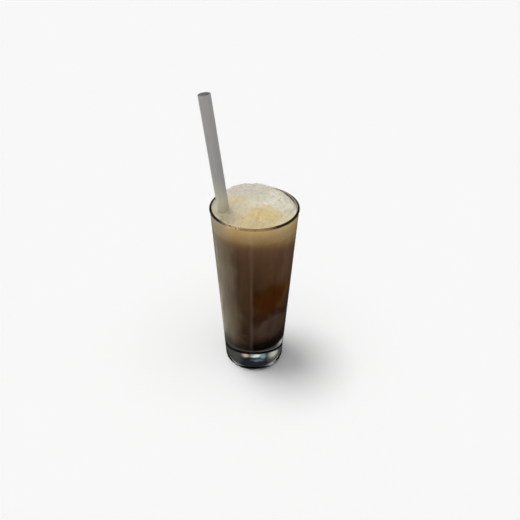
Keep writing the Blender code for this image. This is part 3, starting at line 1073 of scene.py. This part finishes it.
CAMERA_PLACE = (0.005206, -0.422195, 0.411051)
CAMERA_PITCH = math.radians(34.946)
CAMERA_ROLL = 0.0104
FOCAL_PIXELS = 557
IMAGE_PIXELS = 520
SENSOR_WIDTH = 36.0
KEY_DIRECTION = (-0.23, 0.09, 1.0)
KEY_ANGLE = math.radians(22)
FLOOR_REACH = 8.0
FLOOR_GAP = 0.0002
SKY_STOPS = (
    (0.0, (0.015, 0.015, 0.016)),
    (0.5, (0.015, 0.015, 0.016)),
    (0.72, (0.12, 0.12, 0.12)),
    (0.85, (1.00, 1.00, 1.00)),
    (1.0, (1.40, 1.40, 1.40)),
)
SKY_WINDOWS = (
    ((0.00, 0.62, 0.75), (0.75, 0.60, 0.20), (0.012, 0.014, 0.018), 0.45),
    ((0.50, 0.60, 0.66), (0.22, 0.50, 0.24), (0.055, 0.055, 0.053), 0.45),
    ((0.00, 0.92, 0.28), (0.90, 0.50, 0.16), (0.13, 0.13, 0.12), 0.45),
    ((-0.45, 0.60, 0.68), (0.15, 0.50, 0.13), (0.07, 0.07, 0.065), 0.60),
    ((0.05, 0.80, 0.580), (0.180, 0.40, 0.035), (0.13, 0.13, 0.11), 0.70),
    ((0.18, 0.80, 0.580), (0.060, 0.40, 0.045), (0.46, 0.35, 0.27), 0.80),
    ((-0.08, 0.80, 0.580), (0.100, 0.40, 0.042), (0.62, 0.68, 0.64), 0.75),
    ((-0.20, 0.80, 0.600), (0.070, 0.40, 0.055), (0.15, 0.25, 0.25), 0.70),
    ((-0.08, 0.72, 0.700), (0.110, 0.40, 0.028), (0.10, 0.12, 0.14), 0.80),
    ((-0.47, 0.60, 0.610), (0.115, 0.40, 0.095), (0.42, 0.41, 0.38), 0.75),
)
CAMERA_SKY = (0.74, 0.74, 0.735)


def add_camera(scene):
    """A camera at the photograph's viewing angle."""
    data = bpy.data.cameras.new("photo_view")
    data.sensor_width = SENSOR_WIDTH
    data.lens = FOCAL_PIXELS / IMAGE_PIXELS * SENSOR_WIDTH
    camera = bpy.data.objects.new("photo_view", data)
    pitch = Matrix.Rotation(math.pi / 2 - CAMERA_PITCH, 3, "X")
    turn = pitch @ Matrix.Rotation(CAMERA_ROLL, 3, "Z")
    camera.location = CAMERA_PLACE
    camera.rotation_euler = turn.to_euler()
    scene.collection.objects.link(camera)
    scene.camera = camera


def add_key(scene, strength):
    """A soft light from high up on the left, a little behind the float."""
    data = bpy.data.lights.new("key", "SUN")
    data.energy = strength
    data.angle = KEY_ANGLE
    lamp = bpy.data.objects.new("key", data)
    lamp.rotation_euler = Vector(KEY_DIRECTION).to_track_quat("Z", "Y").to_euler()
    scene.collection.objects.link(lamp)


def add_sky(scene, strength):
    """Soft light from above that fades towards the horizon, with soft windows behind the float
    that its base shows. The camera itself sees one plain pale tone."""
    world = bpy.data.worlds.new("studio")
    world.use_nodes = True
    tree = world.node_tree
    tree.nodes.clear()
    direction = add_node(tree, "TexCoord").outputs["Generated"]
    colour = ramp(tree, coordinate(tree, direction, "Z"), SKY_STOPS)
    uneven = warped(tree, direction, 9, 0.08)
    for centre, radii, shade, soft in SKY_WINDOWS:
        colour = mix_colour(tree, blob(tree, uneven, centre, radii, soft), colour, shade)
    camera = add_node(tree, "LightPath").outputs["Is Camera Ray"]
    colour = mix_colour(tree, camera, colour, CAMERA_SKY)
    background = add_node(tree, "Background", Color=colour, Strength=strength)
    add_node(tree, "OutputWorld", Surface=background.outputs[0])
    scene.world = world


def add_floor(scene):
    """A square floor just below the foot."""
    low, high = -FLOOR_REACH, FLOOR_REACH
    corners = [(low, low, 0), (high, low, 0), (high, high, 0), (low, high, 0)]
    mesh = bpy.data.meshes.new("floor")
    mesh.from_pydata(corners, [], [(0, 1, 2, 3)])
    mesh.materials.append(pale_floor())
    floor = bpy.data.objects.new("floor", mesh)
    floor.location.z = -FLOOR_GAP
    scene.collection.objects.link(floor)


class FLOAT_OT_stage(bpy.types.Operator):
    """Lays the pale floor and sets the camera and the studio lights"""

    bl_idname = "float.stage"
    bl_label = "Stage"

    def execute(self, context):
        """Builds the stage."""
        scene = context.scene
        add_floor(scene)
        add_camera(scene)
        add_key(scene, scene.float_stage.key)
        add_sky(scene, scene.float_stage.sky)
        scene.view_settings.view_transform = "Standard"
        return {"FINISHED"}


class FLOAT_PT_panel(bpy.types.Panel):
    """Lists the float's pieces in the sidebar"""

    bl_label = "Ice Cream Float"
    bl_idname = "FLOAT_PT_panel"
    bl_space_type = "VIEW_3D"
    bl_region_type = "UI"
    bl_category = "Float"

    def draw(self, context):
        """Draws each group of settings over its operators."""
        for name, group in GROUPS.items():
            box = self.layout.box()
            settings = getattr(context.scene, name)
            for setting in group[0].__annotations__:
                box.prop(settings, setting)
            for operator in group[1:]:
                box.operator(operator.bl_idname)


GROUPS = {
    "float_tumbler": (TumblerSettings, FLOAT_OT_tumbler),
    "float_soda": (SodaSettings, FLOAT_OT_soda),
    "float_foam": (FoamSettings, FLOAT_OT_head, FLOAT_OT_bubbles),
    "float_straw": (StrawSettings, FLOAT_OT_straw),
    "float_stage": (StageSettings, FLOAT_OT_stage),
}
CLASSES = (*(cls for group in GROUPS.values() for cls in group), FLOAT_PT_panel)


def register():
    """Registers the classes and hangs the settings on the scene."""
    for cls in CLASSES:
        bpy.utils.register_class(cls)
    for name, group in GROUPS.items():
        setattr(bpy.types.Scene, name, PointerProperty(type=group[0]))


def unregister():
    """Takes all of it away again."""
    for name in GROUPS:
        delattr(bpy.types.Scene, name)
    for cls in reversed(CLASSES):
        bpy.utils.unregister_class(cls)


def main():
    """Builds every piece and the stage."""
    register()
    bpy.ops.float.tumbler()
    bpy.ops.float.soda()
    bpy.ops.float.head()
    bpy.ops.float.bubbles()
    bpy.ops.float.straw()
    bpy.ops.float.stage()


if __name__ == "__main__":
    main()
